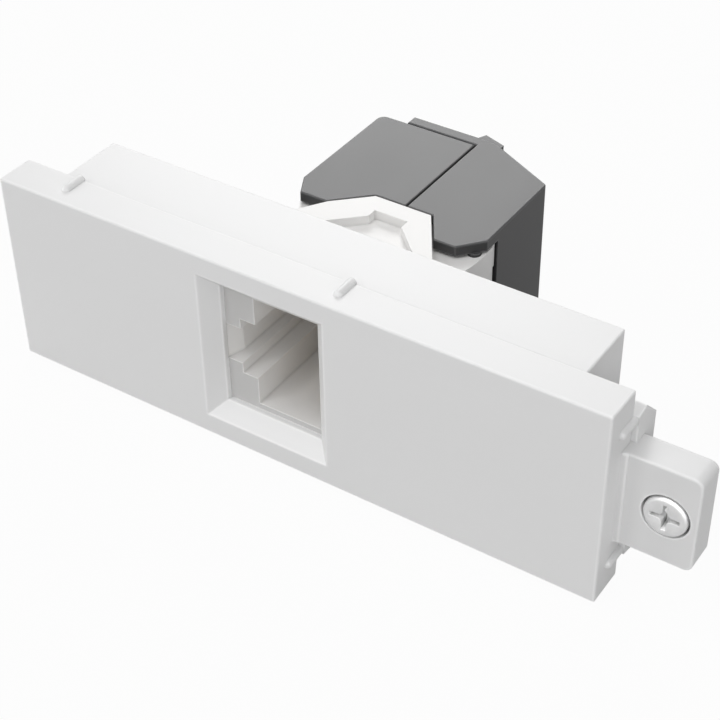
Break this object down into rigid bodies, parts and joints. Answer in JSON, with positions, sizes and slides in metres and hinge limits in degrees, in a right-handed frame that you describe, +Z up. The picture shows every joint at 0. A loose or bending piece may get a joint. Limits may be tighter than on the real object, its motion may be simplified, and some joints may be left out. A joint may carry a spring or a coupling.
{
  "type": "ethernet socket module",
  "caption": "Long face plate with an eight-way data socket clipped in, a screw tab at one end and two hinged wire clamps at the back.",
  "frame": {"origin": "middle of the plug window, on the front face of the plate", "axes": "+X along the plate towards the screw tab, +Y from the face to the back, +Z up across the plate"},
  "size_m": [0.0706, 0.0338, 0.0212],
  "materials": {
    "plate_plastic": "fine satin, moulded white",
    "housing_plastic": "satin, moulded white",
    "clamp_plastic": "fine eroded, moulded dark grey",
    "carrier_plastic": "satin, moulded grey",
    "terminal_plastic": "satin, moulded white",
    "board_laminate": "glass laminate with green lacquer",
    "contact_gold": "gold plated spring bronze",
    "blade_tin": "tin plated bronze",
    "screw_steel": "bright zinc plated"
  },
  "bodies": {
    "socket": {"face_plate": "plate_plastic", "tab_screw": "screw_steel", "jack_housing": "housing_plastic", "contact_carrier": "carrier_plastic", "contact_1": "contact_gold", "contact_2": "contact_gold", "contact_3": "contact_gold", "contact_4": "contact_gold", "contact_5": "contact_gold", "contact_6": "contact_gold", "contact_7": "contact_gold", "contact_8": "contact_gold", "circuit_board": "board_laminate", "terminal_block": "terminal_plastic", "terminal_blade_1": "blade_tin", "terminal_blade_2": "blade_tin", "terminal_blade_3": "blade_tin", "terminal_blade_4": "blade_tin", "terminal_blade_5": "blade_tin", "terminal_blade_6": "blade_tin", "terminal_blade_7": "blade_tin", "terminal_blade_8": "blade_tin"},
    "left_clamp": {"left_clamp": "clamp_plastic"},
    "right_clamp": {"right_clamp": "clamp_plastic"}
  },
  "joints": [
    {"name": "right_clamp_hinge", "type": "hinge", "parent": "socket", "child": "right_clamp", "pos_m": [0.01155, 0.017, 0], "axis": [0, 0, 1], "range_deg": [-90, 0]},
    {"name": "left_clamp_hinge", "type": "hinge", "parent": "socket", "child": "left_clamp", "pos_m": [-0.00635, 0.017, 0], "axis": [0, 0, 1], "range_deg": [0, 90]}
  ],
  "couplings": [
    {"joint": "left_clamp_hinge", "follows": "right_clamp_hinge", "ratio": -1}
  ]
}
